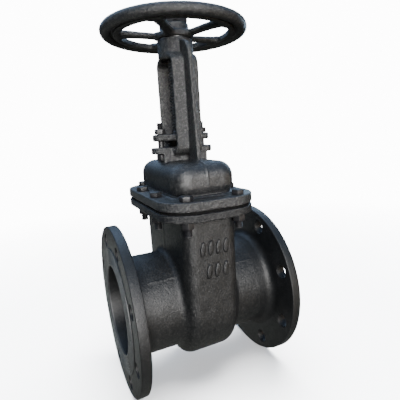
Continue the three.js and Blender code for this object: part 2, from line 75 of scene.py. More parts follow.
# the two bolted flanges: half x, half y, corner, bottom, top
BODY_FLANGE = (79.5, 128.5, 53, 161, 173.1)
BONNET_FLANGE = (79.2, 129, 52, 177.4, 191.6)
BONNET_BOLTS = [
    (43, 109), (66, 38.6), (66, -38.6), (43, -109),
    (-43, -109), (-66, -38.6), (-66, 38.6), (-43, 109),
]
BOLT_CLEARANCE_R = 6.6

# footprints on the bonnet: half x, half y, corner
DOME = (53, 97.3, 27)
EARS = (53.5, 17.5, 15)
FORK = (39.5, 17.5, 1.5)
DOME_TOP = 243
DOME_EDGE_R = 24.5
EARS_Z = (255.8, 266.6)
FORK_Z = (217, 258)
STEM_R = 14
BOX_R = 24.5
BOX_TOP = 267
GLAND_BOLT_X = 37.5
GLAND_BOLT_WAY_R = 5.7
GLAND_HEAD_WAY_R = 10.8
GLAND_Z = (277, 288)

LEG_Y = (34, 42)  # inner and outer side of a leg
LEG_X = 22.5  # half the leg's width
YOKE_Z = (254, 413)
BOSS_R = 29
BOSS_Z = (407, 437)
WEB_X = 3.5  # half the web's thickness
# the web's outer edge: heights, and how far from the middle it is there
WEB_EDGE_Z = [236, 242, 264, 314, 352, 389, 403, 414.5, 422, 427, 430.5, 431.5]
WEB_EDGE_Y = [75, 71.5, 68.8, 65.6, 63.4, 61.5, 59.5, 56.5, 51.5, 44.5, 35, 26]

WHEEL_Z = 449.8
RIM_R = 109.4
BEAD_R = 8.4
HUB_R = 29
HUB_Z = (439, 448.5)
COLLAR_R = 23.5
COLLAR_TOP = 461
SPOKES = 5
FIRST_SPOKE = math.radians(17)

SEAT_ANGLE = math.radians(5)
WEDGE_HALF = 18
THREAD_PITCH = 5
STEM_HEAD = (11.2, 14)  # half x and half y of the head that sits in the wedge

# rows of cast marks: height, first centre, count, spacing
MARK_ROWS = ((111.5, -18.5, 4, 13.3), (74, -9.5, 3, 14.5))
MARK_HALF = (5.0, 12.5)
MARK_TILT = 0.12


def in_frame(points):
    """Millimetres from the pipe's axis to metres of the frame."""
    placed = np.asarray(points, float) * MM
    placed[:, 2] += PIPE_Z
    return placed


# ------------------------------------------------------------------ distance fields

def both(a, b, radius):
    """Where both solids are, with a rounded edge."""
    outside = np.hypot(np.maximum(a + radius, 0), np.maximum(b + radius, 0))
    return np.minimum(np.maximum(a, b), -radius) + outside


def either(a, b, radius):
    """Where either solid is, with a fillet between them."""
    inside = np.hypot(np.maximum(radius - a, 0), np.maximum(radius - b, 0))
    return np.maximum(np.minimum(a, b), radius) - inside


def without(a, b, radius=0.6):
    """Where the first solid is and the second isn't."""
    return both(a, -b, radius)


def rounded_rectangle(x, y, half_x, half_y, corner):
    over_x = np.abs(x) - half_x + corner
    over_y = np.abs(y) - half_y + corner
    outside = np.hypot(np.maximum(over_x, 0), np.maximum(over_y, 0))
    return outside + np.minimum(np.maximum(over_x, over_y), 0) - corner


def slab(z, bottom, top):
    """The space between two heights."""
    return np.abs(z - (bottom + top) / 2) - (top - bottom) / 2


def lumps(x, y, z, height):
    """The slow waviness that a sand mould leaves."""
    first = np.sin(x / 6.1 + 1.3) * np.sin(y / 7.3) * np.sin(z / 6.7 + 0.4)
    second = np.sin(x / 3.1) * np.sin(y / 2.9 + 0.8) * np.sin(z / 3.3)
    return height * (first + 0.4 * second)


def bolt_holes(x, y, radius):
    holes = [np.hypot(x - place_x, y - place_y) - radius for place_x, place_y in BONNET_BOLTS]
    return np.minimum.reduce(holes)


def body_field(x, y, z):
    """The chamber, the body's upper flange and the two necks, hollow inside."""
    half_x, half_y, corner, bottom, top = BODY_FLANGE
    dive = np.clip((np.abs(x) - SEAM_X) / 5, 0, 1)
    across = np.hypot(y, z)
    seam = 0.5 * np.exp(-(((np.abs(y) - z) / 2.2) ** 2)) * (z > 0)
    pipe = np.maximum(across - NECK_R - seam * (1 - dive) + 0.5 * dive, np.abs(x) - SEAM_X - 8)
    upright = np.where(z > 0, np.abs(y), across)
    around = upright - CHAMBER_R
    ridge = 1.2 * np.exp(-((y / 5) ** 2))
    chamber = both(around, np.abs(x) - CHAMBER_X - ridge, 19)
    chamber = np.maximum(chamber, z - top + 4)
    casting = either(pipe, chamber, 10)
    plate = both(rounded_rectangle(x, y, half_x, half_y, corner), slab(z, bottom, top), 1.4)
    casting = either(casting, plate, 5) + lumps(x, y, z, 0.22)
    lean = math.tan(SEAT_ANGLE)
    seat_boss = np.maximum(across - 90, WEDGE_HALF + 4 + lean * z - np.abs(x))
    space = both(upright - 94.5, np.abs(x) - 37, 8)
    rib = np.maximum(np.maximum(np.abs(x) - 4, 85 - np.abs(y)), -z - 60)
    space = np.maximum(space, -np.minimum(seat_boss, rib))
    seats = np.maximum(across - 83.3, WEDGE_HALF - 1 + lean * z - np.abs(x))
    seats = np.maximum(seats, np.abs(x) - WEDGE_HALF - 9.6 - lean * z)
    hollow = np.minimum(np.minimum(space, across - BORE_R), seats)
    casting = without(casting, hollow, 0.8)
    return without(casting, np.maximum(bolt_holes(x, y, BOLT_CLEARANCE_R), bottom - 5 - z))


def beyond_web(y, z):
    """Distance from the web's outer edge."""
    edge = np.interp(z, WEB_EDGE_Z, WEB_EDGE_Y)
    slope = np.interp(z + 1, WEB_EDGE_Z, WEB_EDGE_Y) - edge
    return (np.abs(y) - edge) / np.hypot(1, slope)


def yoke_field(x, y, z):
    """Two T-shaped legs, closed by an arch and a boss at the top."""
    bottom, top = YOKE_Z
    middle = (bottom + top) / 2
    taper = 0.18 * np.abs(x)
    outer = rounded_rectangle(y, z - middle, LEG_Y[1] - taper, (top - bottom) / 2, 17)
    inner = rounded_rectangle(y, z - middle, LEG_Y[0], (top - bottom) / 2 - 8, 12)
    frame_ring = both(np.maximum(outer, -inner), np.abs(x) - LEG_X, 2.2)
    run = np.maximum(beyond_web(y, z), LEG_Y[0] + 2 - np.abs(y))
    web = both(np.maximum(run, z - BOSS_Z[1] + 5), np.abs(x) - WEB_X, 1.4)
    legs = either(frame_ring, web, 0.6)
    boss = both(np.hypot(x, y) - BOSS_R, slab(z, *BOSS_Z), 2)
    upper_run = np.maximum(beyond_web(y, z), slab(z, 404, BOSS_Z[1] - 5))
    upper = both(upper_run, np.abs(x) - WEB_X, 1.4)
    return either(either(legs, boss, 4), upper, 1.4)


def bonnet_field(x, y, z):
    """The bonnet's flange and dome with the stuffing box and the yoke, hollow inside."""
    half_x, half_y, corner, bottom, top = BONNET_FLANGE
    plate = both(rounded_rectangle(x, y, half_x, half_y, corner), slab(z, bottom, top), 1.6)
    footprint = rounded_rectangle(x, y, *DOME)
    plinth = both(footprint - 2.2, slab(z, top - 6, top + 1.8), 1)
    seam = (0.2 + np.clip((z - 208) / 25, 0, 1)) * np.exp(-((x / 1.5) ** 2))
    dome = both(footprint, np.maximum(z - DOME_TOP, top - 6 - z), DOME_EDGE_R) - seam
    cover = either(either(plate, plinth, 0.8), dome, 2)
    radius = np.hypot(x, y)
    neck = both(radius - BOX_R, slab(z, DOME_TOP - 20, BOX_TOP), 1.5)
    ears = both(rounded_rectangle(x, y, *EARS), slab(z, *EARS_Z), 2.4)
    fork = both(rounded_rectangle(x, y, *FORK), slab(z, *FORK_Z), 1)
    cover = either(cover, neck, 3)
    cover = either(either(cover, fork, 1.5), ears, 0.8)
    casting = either(cover, yoke_field(x, y, z), 5) + lumps(x, y, z, 0.2)
    from_bolt = np.hypot(np.abs(x) - GLAND_BOLT_X, y)
    head_space = np.maximum(from_bolt - GLAND_HEAD_WAY_R, slab(z, 244, EARS_Z[0]))
    casting = without(casting, head_space, 0.8)
    slot = np.where(np.abs(x) > GLAND_BOLT_X, np.abs(y), from_bolt) - GLAND_BOLT_WAY_R
    casting = without(casting, np.maximum(slot, slab(z, 250, 272)), 1)
    inside = rounded_rectangle(x, y, DOME[0] - 8, DOME[1] - 8, DOME[2] - 8)
    room = both(inside, z - DOME_TOP + 8, 18)
    bore = np.maximum(radius - 22, slab(z, 249.6, BOX_TOP + 5))
    stem_way = np.maximum(radius - 14.6, slab(z, 225, 260))
    bush_seat = np.maximum(radius - 20.3, slab(z, 225, 242))
    nut_bore = np.maximum(radius - 19.9, 400 - z)
    nut_way = np.minimum(nut_bore, np.maximum(radius - 25, slab(z, 400, 416)))
    for space in (room, bore, stem_way, bush_seat, nut_way):
        casting = without(casting, space)
    return without(casting, np.maximum(bolt_holes(x, y, BOLT_CLEARANCE_R), z - top - 5))


def handwheel_field(x, y, z):
    radius = np.hypot(x, y)
    bead = np.hypot(radius - RIM_R, z - WHEEL_Z) - BEAD_R
    lip = rounded_rectangle(radius - 93, z - 448, 5, 5, 2.4)
    floor = rounded_rectangle(radius - 98.5, z - WHEEL_Z - 0.6, 7, 2.4, 1.5)
    rim = either(either(lip, floor, 1.6), bead, 1.6)
    spokes = radius + 1000  # nothing yet
    for i in range(SPOKES):
        angle = FIRST_SPOKE + 2 * math.pi * i / SPOKES
        along = x * math.cos(angle) + y * math.sin(angle)
        across = y * math.cos(angle) - x * math.sin(angle)
        near_hub = np.clip((88 - along) / 60, 0, 1) ** 1.5
        half_width = 7.8 + 3.6 * ((along - 52) / 38) ** 2
        low = WHEEL_Z - 6 - 4 * near_hub
        high = WHEEL_Z + 4 - 6 * near_hub
        bar = both(np.abs(across) - half_width, slab(z, low, high), 4.9)
        bar = np.maximum(bar, np.maximum(15 - along, along - 92))
        spokes = np.minimum(spokes, bar)
    hub = both(radius - HUB_R, slab(z, *HUB_Z), 2.2)
    collar = both(radius - COLLAR_R, slab(z, HUB_Z[0] + 3, COLLAR_TOP), 1.2)
    wheel = either(either(either(spokes, rim, 6), hub, 6), collar, 2) + lumps(x, y, z, 0.15)
    keyway = np.maximum(np.maximum(np.abs(x) - 3.3, slab(y, 0, 20.7)), z - 456.3)
    return without(without(wheel, radius - 18.3), keyway, 0.3)


def gland_field(x, y, z):
    bar = np.hypot(np.maximum(np.abs(x) - GLAND_BOLT_X, 0), y) - 13
    plan = either(bar, np.hypot(x, y) - 27, 9)
    plate = both(plan, slab(z, *GLAND_Z), 2.6) + lumps(x, y, z, 0.12)
    plate = without(plate, np.hypot(x, y) - 15.5, 0.8)
    return without(plate, np.hypot(np.abs(x) - GLAND_BOLT_X, y) - GLAND_BOLT_WAY_R)


def wedge_field(x, y, z):
    lean = math.tan(SEAT_ANGLE)
    faces = (np.abs(x) - WEDGE_HALF - lean * z) * math.cos(SEAT_ANGLE)
    disc = both(np.hypot(y, z) - 81, faces, 1.5)
    ears = both(rounded_rectangle(x, y, 12, 88, 3), slab(z, -18, 16), 2)
    groove = rounded_rectangle(x, np.abs(y) - 92, 4.3, 7.3, 1)
    wedge = without(either(disc, ears, 3), groove)
    ring_way = np.maximum(slab(np.hypot(y, z), 72.2, 79.8), -4.4 - faces)
    wedge = np.maximum(wedge, -ring_way)
    along = slab(y, -14.3, 90)
    head_way = np.maximum(np.maximum(np.abs(x) - 11.5, slab(z, 62, 72)), along)
    neck_way = np.maximum(np.maximum(np.abs(x) - 9.3, slab(z, 70, 90)), along)
    return without(wedge, np.minimum(head_way, neck_way), 0.5)


# ------------------------------------------------------------------ meshes

def settle(field, points):
    """Moves points onto the field's zero surface and gives the surface's normals there."""
    reach = 0.05
    for _ in range(3):
        distance = field(*points.T)
        slope = np.empty_like(points)
        for axis in range(3):
            ahead = points.copy()
            ahead[:, axis] += reach
            slope[:, axis] = (field(*ahead.T) - distance) / reach
        length = np.maximum(np.linalg.norm(slope, axis=1), 0.3)
        normals = slope / length[:, None]
        move = np.clip(distance / length, -1, 1)
        points = points - normals * move[:, None]
    return points, normals


def casting(name, field, low, high, step):
    """A closed mesh of a distance field's surface."""
    low = np.array(low, float)
    counts = np.ceil((np.array(high) - low) / step).astype(int) + 1
    x, y, z = [low[i] + step * np.arange(counts[i]) for i in range(3)]
    values = field(x[:, None, None], y[None, :, None], z[None, None, :])
    band = 3 * step
    grid = openvdb.FloatGrid(background=band)
    grid.copyFromArray(np.ascontiguousarray(np.clip(values, -band, band), dtype=np.float32))
    points, _, quads = grid.convertToPolygons()
    points, normals = settle(field, points * step + low)
    corners = points[quads]
    facing = np.cross(corners[:, 1] - corners[:, 0], corners[:, 3] - corners[:, 0])
    if (facing * normals[quads[:, 0]]).sum() < 0:
        quads = quads[:, ::-1]
    mesh = bpy.data.meshes.new(name)
    mesh.from_pydata(in_frame(points), [], quads.tolist())
    mesh.update()
    mesh.shade_smooth()
    return show(name, mesh)


def show(name, mesh):
    """An object of the mesh. Its name differs from every CAD node's."""
    piece = bpy.data.objects.new(name.replace(" ", "_") + "_shown", mesh)
    bpy.context.scene.collection.objects.link(piece)
    return piece


def soften(mesh, degrees=32):
    """Smooth shading, with a crisp line where faces meet at more than the angle."""
    bm = bmesh.new()
    bm.from_mesh(mesh)
    bmesh.ops.recalc_face_normals(bm, faces=bm.faces)
    for edge in bm.edges:
        edge.smooth = edge.is_manifold and edge.calc_face_angle() < math.radians(degrees)
    for face in bm.faces:
        face.smooth = True
    bm.to_mesh(mesh)
    bm.free()


def grid_faces(rows, columns):
    """Quads of a sheet whose rows close on themselves."""
    faces = []
    for i in range(rows - 1):
        low = i * columns
        high = low + columns
        for j in range(columns):
            k = (j + 1) % columns
            faces.append((low + j, low + k, high + k, high + j))
    return faces


def end_caps(rows, columns):
    """The flat first and last face of such a sheet."""
    last = (rows - 1) * columns
    return [tuple(range(columns))[::-1], tuple(range(last, last + columns))]


def turned_mesh(name, profile, segments=96, closed=False):
    """A profile of (radius, height) points turned about Z, in the profile's own units.
    An open profile is capped at both ends, and a closed one is a ring."""
    angles = np.arange(segments) * 2 * math.pi / segments
    rows = []
    for r, z in profile:
        rows.append(np.column_stack([r * np.cos(angles), r * np.sin(angles), 0 * angles + z]))
    count = len(rows)
    faces = grid_faces(count, segments)
    if closed:
        last = (count - 1) * segments
        for j in range(segments):
            k = (j + 1) % segments
            faces.append((last + j, last + k, k, j))
    else:
        faces += end_caps(count, segments)
    mesh = bpy.data.meshes.new(name)
    mesh.from_pydata(np.vstack(rows), [], faces)
    return mesh


def place(mesh, turn=None):
    """Puts a mesh made in millimetres about Z into the frame, after an optional turn."""
    if turn is not None:
        mesh.transform(turn)
    mesh.transform(Matrix.Translation((0, 0, PIPE_Z)) @ Matrix.Scale(MM, 4))
    return mesh


def turned(name, profile, segments=96, turn=None):
    """An object of a ring turned about Z."""
    mesh = place(turned_mesh(name, profile, segments, closed=True), turn)
    soften(mesh)
    return show(name, mesh)


def with_modifiers(piece):
    """A mesh of the object as its modifiers leave it."""
    bpy.context.view_layer.update()
    graph = bpy.context.evaluated_depsgraph_get()
    return bpy.data.meshes.new_from_object(piece.evaluated_get(graph))


def combine(base, tool, operation):
    """Cuts or joins two mesh objects for good, and removes the tool."""
    modifier = base.modifiers.new("cut", "BOOLEAN")
    modifier.operation = operation
    modifier.solver = "MANIFOLD"
    modifier.object = tool
    shaped = with_modifiers(base)
    base.modifiers.clear()
    base.data = shaped
    bpy.data.objects.remove(tool)


def arc(centre_r, centre_z, radius, start, end, steps):
    angles = np.radians(np.linspace(start, end, steps + 1))
    return [(centre_r + radius * math.cos(a), centre_z + radius * math.sin(a)) for a in angles]


def pipe_flange(name, side):
    """A turned pipe flange with eight bolt holes and a seat for its raised face."""
    edge = 1.5
    outer = FLANGE_R - edge
    profile = [(BORE_R, SEAM_X), (NECK_R, SEAM_X)]
    profile += arc(NECK_R + FLANGE_FILLET, FLANGE_BACK_X - FLANGE_FILLET, FLANGE_FILLET, 180, 90, 10)
    profile += arc(outer, FLANGE_BACK_X + edge, edge, -90, 0, 4)
    profile += arc(outer, FLANGE_FRONT_X - edge, edge, 0, 90, 4)
    profile += [(RAISED_FACE_R + 0.6, FLANGE_FRONT_X), (RAISED_FACE_R, FLANGE_FRONT_X + 0.6)]
    profile += [(RAISED_FACE_R - 1, FLANGE_FRONT_X + 0.6), (RAISED_FACE_R - 1, FLANGE_FRONT_X - 1)]
    profile += [(BORE_R, FLANGE_FRONT_X - 1)]
    flange = turned(name, profile, 160)
    for i in range(8):
        angle = (i + 0.5) * math.pi / 4
        hole_profile = [(BOLT_HOLE_R + 2, FLANGE_BACK_X - 1), (BOLT_HOLE_R, FLANGE_BACK_X + 1)]
        hole_profile += [(BOLT_HOLE_R, FLANGE_FRONT_X - 1), (BOLT_HOLE_R + 2, FLANGE_FRONT_X + 1)]
        centre = (BOLT_CIRCLE_R * math.cos(angle), BOLT_CIRCLE_R * math.sin(angle), 0)
        away = Matrix.Translation(centre)
        hole = show("hole", place(turned_mesh("hole", hole_profile, 48), away))
        soften(hole.data)
        combine(flange, hole, "DIFFERENCE")
    soften(flange.data, 28)
    return along_pipe(flange, side)


def along_pipe(piece, side):
    """Lays a piece turned about the vertical axis on the pipe's, facing one end of the valve."""
    lay = Matrix.Rotation(side * math.pi / 2, 4, "Y")
    centre = Matrix.Translation((0, 0, PIPE_Z))
    piece.data.transform(centre @ lay @ centre.inverted())
    return piece


def raised_face(name, side):
    """The ring that the gasket lies on, with seven turned grooves."""
    outer = RAISED_FACE_R
    seat = FLANGE_FRONT_X - 0.95
    profile = [(BORE_R, seat), (outer - 0.5, seat), (outer, FLANGE_FRONT_X - 0.5)]
    profile += [(outer, FACE_X - 0.4), (outer - 0.4, FACE_X)]
    groove = 1.2
    for i in range(7):
        middle = outer - 3.4 - 3.8 * i
        profile += [(middle + groove, FACE_X), (middle, FACE_X - groove), (middle - groove, FACE_X)]
    profile += [(BORE_R + 1.2, FACE_X), (BORE_R, FACE_X - 1.2)]
    face = turned(name, profile, 160)
    soften(face.data, 28)
    return along_pipe(face, side)


def threaded_mesh(name, radius, depth, pitch, bottom, top, segments, crest, rows_per_turn):
    """A right-hand threaded rod about Z. Crest is the share of a turn that stays at full radius."""
    count = int((top - bottom) / pitch * rows_per_turn)
    heights = np.linspace(bottom, top, count)[:, None]
    angles = (np.arange(segments) * 2 * math.pi / segments)[None, :]
    phase = (heights / pitch - angles / (2 * math.pi)) % 1
    from_crest = np.abs(phase - 0.5) * 2
    cut = np.clip((from_crest - crest) / max(1 - 2 * crest, 0.05), 0, 1)
    fade = np.clip((top - heights) / pitch, 0, 1) * np.clip((heights - bottom) / pitch, 0, 1)
    tip = 1 - np.clip((top - heights) / (0.6 * pitch), 0, 1)
    radii = radius - depth * cut * fade - depth * tip
    points = np.stack([radii * np.cos(angles), radii * np.sin(angles), heights + 0 * angles], axis=-1)
    faces = grid_faces(count, segments) + end_caps(count, segments)
    mesh = bpy.data.meshes.new(name)
    mesh.from_pydata(points.reshape(-1, 3), [], faces)
    return mesh


def hexagon_mesh(name, across_flats, bottom, top, hole_r=0.0, both_ends=False):
    """A hexagon head or nut with the round chamfer that a lathe leaves on its corners."""
    corner = across_flats / math.sqrt(3)
    flat_r = across_flats / 2 * 0.96
    wide_r = corner + 0.2
    drop = (corner - flat_r) * math.tan(math.radians(30))
    low = [(wide_r, bottom)]
    if both_ends:
        low = [(flat_r, bottom), (wide_r, bottom + drop + 0.12)]
    high = [(wide_r, top - drop - 0.12), (flat_r, top)]
    blank = show(name, turned_mesh(name, low + high, 72))
    prism = show("prism", turned_mesh("prism", [(corner, bottom - 1), (corner, top + 1)], 6))
    soften(blank.data)
    soften(prism.data)
    combine(blank, prism, "INTERSECT")
    if hole_r:
        hole_profile = [(hole_r, bottom + 0.8), (hole_r, top - 0.8), (hole_r + 1.2, top + 0.4)]
        hole_profile = [(hole_r + 1.2, bottom - 0.4)] + hole_profile
        hole = show("hole", turned_mesh("hole", hole_profile, 48))
        soften(hole.data)
        combine(blank, hole, "DIFFERENCE")
    bevel = blank.modifiers.new("edge", "BEVEL")
    bevel.width = 0.35
    bevel.segments = 2
    bevel.limit_method = "ANGLE"
    bevel.angle_limit = math.radians(35)
    mesh = with_modifiers(blank)
    bpy.data.objects.remove(blank)
    soften(mesh, 30)
    return mesh


def merged(name, meshes):
    """One mesh of several closed ones."""
    bm = bmesh.new()
    for mesh in meshes:
        bm.from_mesh(mesh)
    mesh = bpy.data.meshes.new(name)
    bm.to_mesh(mesh)
    bm.free()
    return mesh


# ------------------------------------------------------------------ materials

DARK_PAINT = (0.003, 0.0035, 0.004)
LIGHT_PAINT = (0.007, 0.0075, 0.008)
# grey of the speckle: sand grains, and painted glints that stand in for light the rough paint catches
GRAIN_AND_GLINT_COLOUR = (0.09, 0.09, 0.087, 1)
# how much grain and grey speckle, with its painted glints, shows at a height in millimetres: (height,
# share)
BODY_ZONES = ((150, 0.55), (156, 1.0))
BONNET_ZONES = ((192, 1.0), (195, 0.5), (236, 0.5), (245, 1.0))


def feed(links, socket, value):
    """Sets a socket to a number, or links it to another socket."""
    if isinstance(value, bpy.types.NodeSocket):
        links.new(value, socket)
    else:
        socket.default_value = value


def new_material(name):
    material = bpy.data.materials.new(name)
    material.use_nodes = True
    nodes = material.node_tree.nodes
    return material, nodes, material.node_tree.links, nodes["Principled BSDF"]


def object_coordinates(nodes):
    place_node = nodes.get("Place") or nodes.new("ShaderNodeTexCoord")
    place_node.name = "Place"
    return place_node.outputs["Object"]


def noise(nodes, links, scale, detail=4, roughness=0.6):
    texture = nodes.new("ShaderNodeTexNoise")
    texture.inputs["Scale"].default_value = scale
    texture.inputs["Detail"].default_value = detail
    texture.inputs["Roughness"].default_value = roughness
    links.new(object_coordinates(nodes), texture.inputs["Vector"])
    return texture.outputs["Fac"]


def mapped(nodes, links, value, low, high, from_low=0.35, from_high=0.65):
    node = nodes.new("ShaderNodeMapRange")
    sockets = ("From Min", "From Max", "To Min", "To Max")
    for socket, number in zip(sockets, (from_low, from_high, low, high)):
        node.inputs[socket].default_value = number
    links.new(value, node.inputs["Value"])
    return node.outputs["Result"]


def mixed_colour(nodes, links, value, first, second):
    ramp = nodes.new("ShaderNodeValToRGB")
    ramp.color_ramp.elements[0].position = 0.35
    ramp.color_ramp.elements[1].position = 0.68
    ramp.color_ramp.elements[0].color = (*first, 1)
    ramp.color_ramp.elements[1].color = (*second, 1)
    links.new(value, ramp.inputs["Fac"])
    return ramp.outputs["Color"]


def bumped(nodes, links, layers):
    """Bump layers of (height, strength, distance in metres), stacked."""
    normal = None
    for height, strength, distance in layers:
        bump = nodes.new("ShaderNodeBump")
        feed(links, bump.inputs["Strength"], strength)
        bump.inputs["Distance"].default_value = distance
        links.new(height, bump.inputs["Height"])
        if normal:
            links.new(normal, bump.inputs["Normal"])
        normal = bump.outputs["Normal"]
    return normal


def by_height(nodes, links, zones):
    """A value that changes with height. Zones are (millimetres above the pipe's axis, value)."""
    split = nodes.new("ShaderNodeSeparateXYZ")
    links.new(object_coordinates(nodes), split.inputs["Vector"])
    low, high = zones[0][0] - 1, zones[-1][0] + 1
    share = mapped(nodes, links, split.outputs["Z"], 0, 1, PIPE_Z + low * MM, PIPE_Z + high * MM)
    ramp = nodes.new("ShaderNodeValToRGB")
    stops = ramp.color_ramp.elements
    stops[1].position = 1
    for stop, zone in ((stops[0], zones[0]), (stops[1], zones[-1])):
        stop.color = (zone[1], zone[1], zone[1], 1)
    for height, value in zones[1:-1]:
        stops.new((height - low) / (high - low)).color = (value, value, value, 1)
    links.new(share, ramp.inputs["Fac"])
    return ramp.outputs["Color"]


def times(nodes, links, value, factor):
    product = nodes.new("ShaderNodeMath")
    product.operation = "MULTIPLY"
    links.new(value, product.inputs[0])
    feed(links, product.inputs[1], factor)
    return product.outputs["Value"]


def black_paint(name, grain, gloss, dark=DARK_PAINT, light=LIGHT_PAINT, speckle=0.0, zones=None,
                mirror=0.55):
    """Semi-gloss black paint over a sand casting. Grain is the bump's strength, and speckle the share of
    grey grains, partly sand showing through and partly painted glints of the rough paint. Both follow the
    zones' values. Mirror is how strongly the paint reflects."""
    material, nodes, links, shader = new_material(name)
    colour = mixed_colour(nodes, links, noise(nodes, links, 55, 6), dark, light)
    fine = noise(nodes, links, 300, 4, 0.75)
    fine_strength = 0.8 * grain
    if zones:
        zone = by_height(nodes, links, zones)
        fine_strength = times(nodes, links, zone, fine_strength)
    # grey speckle: sand showing through, and painted glints
    if speckle:
        grey = nodes.new("ShaderNodeMix")
        grey.data_type = "RGBA"
        grains = mapped(nodes, links, fine, 0, speckle, 0.5, 0.62)
        if zones:
            grains = times(nodes, links, grains, zone)
        links.new(grains, grey.inputs["Factor"])
        links.new(colour, grey.inputs["A"])
        grey.inputs["B"].default_value = GRAIN_AND_GLINT_COLOUR
        colour = grey.outputs["Result"]
    links.new(colour, shader.inputs["Base Color"])
    shine = mapped(nodes, links, noise(nodes, links, 240, 4), gloss - 0.03, gloss + 0.06)
    links.new(shine, shader.inputs["Roughness"])
    shader.inputs["Specular IOR Level"].default_value = mirror
    layers = [
        (noise(nodes, links, 90, 3), 0.2 * grain, 0.001),
        (fine, fine_strength, 0.0022),
    ]
    links.new(bumped(nodes, links, layers), shader.inputs["Normal"])
    return material


def metal(name, colour, dull_colour, gloss):
    """Machined metal with fine tool marks and dull patches."""
    material, nodes, links, shader = new_material(name)
    patches = mixed_colour(nodes, links, noise(nodes, links, 60, 6), dull_colour, colour)
    links.new(patches, shader.inputs["Base Color"])
    shader.inputs["Metallic"].default_value = 1
    shine = mapped(nodes, links, noise(nodes, links, 180, 5), gloss - 0.08, gloss + 0.15)
    links.new(shine, shader.inputs["Roughness"])
    tool_marks = (noise(nodes, links, 900, 4), 0.25, 0.0002)
    links.new(bumped(nodes, links, [tool_marks]), shader.inputs["Normal"])
    return material


def soft_black(name, colour, light, scale):
    """Dull sheet or braid."""
    material, nodes, links, shader = new_material(name)
    patches = mixed_colour(nodes, links, noise(nodes, links, 200, 5), colour, light)
    links.new(patches, shader.inputs["Base Color"])
    shader.inputs["Roughness"].default_value = 0.85
    shader.inputs["Specular IOR Level"].default_value = 0.1
    weave = (noise(nodes, links, scale, 5), 0.6, 0.0006)
    links.new(bumped(nodes, links, [weave]), shader.inputs["Normal"])
    return material


MATERIALS = {
    "cast_black_paint": black_paint(
        "cast black paint", 1.2, 0.40, speckle=0.3, zones=BODY_ZONES, mirror=0.44),
    "bonnet_black_paint": black_paint(
        "bonnet black paint", 1.2, 0.36, speckle=0.62, zones=BONNET_ZONES, mirror=0.66),
    "rough_black_paint": black_paint("rough black paint", 1.2, 0.42, speckle=0.6),
    "wheel_black_paint": black_paint("wheel black paint", 0.9, 0.36, speckle=0.3),
    "flange_black_paint": black_paint("flange black paint", 0.5, 0.43, mirror=0.42),
    # raised faces: lighter than the paint, partly for wear and partly as painted light for light this face
    # doesn't get
    "worn_face_with_painted_light": black_paint("worn raised face", 0.3, 0.4, (0.02, 0.022, 0.023), (0.05, 0.052, 0.053)),
    "wedge_iron": black_paint("coated wedge iron", 0.8, 0.55, (0.03, 0.03, 0.03), (0.05, 0.05, 0.05)),
    "painted_fastener": black_paint(
        "painted fastener", 0.35, 0.46, (0.004, 0.004, 0.005), (0.01, 0.01, 0.011)),
    "bright_steel": metal("turned steel", (0.16, 0.16, 0.16), (0.06, 0.06, 0.06), 0.38),
    "brass": metal("turned brass", (0.3, 0.22, 0.1), (0.07, 0.055, 0.035), 0.42),
    # brass painted near black: painted shade for the gland bush and stem nut, which sit in shade
    "brass_with_painted_shade": metal("brass with painted shade", (0.02, 0.018, 0.014), (0.008, 0.008, 0.008), 0.5),
    "packing": soft_black("graphited packing", (0.02, 0.02, 0.02), (0.06, 0.06, 0.06), 900),
    # gasket: a black sheet, made nearly pure black as painted shade in the gap between the bonnet and body
    # flanges
    "gasket": soft_black("gasket sheet with painted shade", (0.002, 0.002, 0.002), (0.004, 0.004, 0.004), 600),
}


def finish_piece(piece, body, slot, stands_for=(), material=None):
    """Gives a piece its material and lets it ride on its body in place of CAD nodes."""
    piece.data.materials.clear()
    piece.data.materials.append(MATERIALS[material or slot])
    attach(piece, body)
    if stands_for:
        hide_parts(*stands_for)


# ------------------------------------------------------------------ castings

body = casting("body casting", body_field, (-110, -134, -108), (110, 134, 178), FINE_STEP)
finish_piece(body, "valve_body", "cast_black_paint", ["body"])
for label, side in ENDS:
    flange = pipe_flange(f"{label} pipe flange", side)
    finish_piece(flange, "valve_body", "cast_black_paint", material="flange_black_paint")
    face = raised_face(f"{label} raised face", side)
    # the raised face's lighter colour is partly painted light
    finish_piece(face, "valve_body", "cast_black_paint", material="worn_face_with_painted_light")

bonnet = casting("bonnet casting", bonnet_field, (-84, -134, 172), (84, 134, 442), FINE_STEP)
finish_piece(bonnet, "valve_body", "cast_black_paint", ["bonnet"], "bonnet_black_paint")

gland = casting("gland flange casting", gland_field, (-55, -32, 272), (55, 32, 293), WHEEL_STEP)
finish_piece(gland, "valve_body", "cast_black_paint", ["gland_flange"], "rough_black_paint")

wheel = casting("handwheel casting", handwheel_field, (-120, -120, 434), (120, 120, 466), WHEEL_STEP)
finish_piece(wheel, "wheel", "wheel_black_paint", ["handwheel"])

wedge = casting("wedge casting", wedge_field, (-30, -92, -86), (30, 92, 86), FINE_STEP)
finish_piece(wedge, "stem", "wedge_iron", ["wedge"])


# ------------------------------------------------------------------ turned pieces

def ring_profile(inner_r, outer_r, bottom, top, chamfer=0.5):
    """The section of a plain ring, chamfered all round."""
    low, high = bottom + chamfer, top - chamfer
    near, far = inner_r + chamfer, outer_r - chamfer
    return [
        (inner_r, low), (near, bottom), (far, bottom), (outer_r, low),
        (outer_r, high), (far, top), (near, top), (inner_r, high),
    ]


def add_ring(name, sizes, body_name, slot, turn=None):
    piece = turned(name.replace("_", " "), ring_profile(*sizes), 128, turn=turn)
    finish_piece(piece, body_name, slot, [name])


for label, side in ENDS:
    lean = Matrix.Rotation(math.pi / 2 + SEAT_ANGLE, 4, "Y")
    onto_seat = Matrix.Translation((WEDGE_HALF, 0, 0)) @ lean
    if side < 0:
        onto_seat = Matrix.Rotation(math.pi, 4, "Z") @ onto_seat
    add_ring(f"seat_ring_{label}", (75, 83, 0.15, 9.15), "valve_body", "brass", onto_seat)
    add_ring(f"wedge_ring_{label}", (72.5, 79.5, -4.15, -0.15), "stem", "brass", onto_seat)

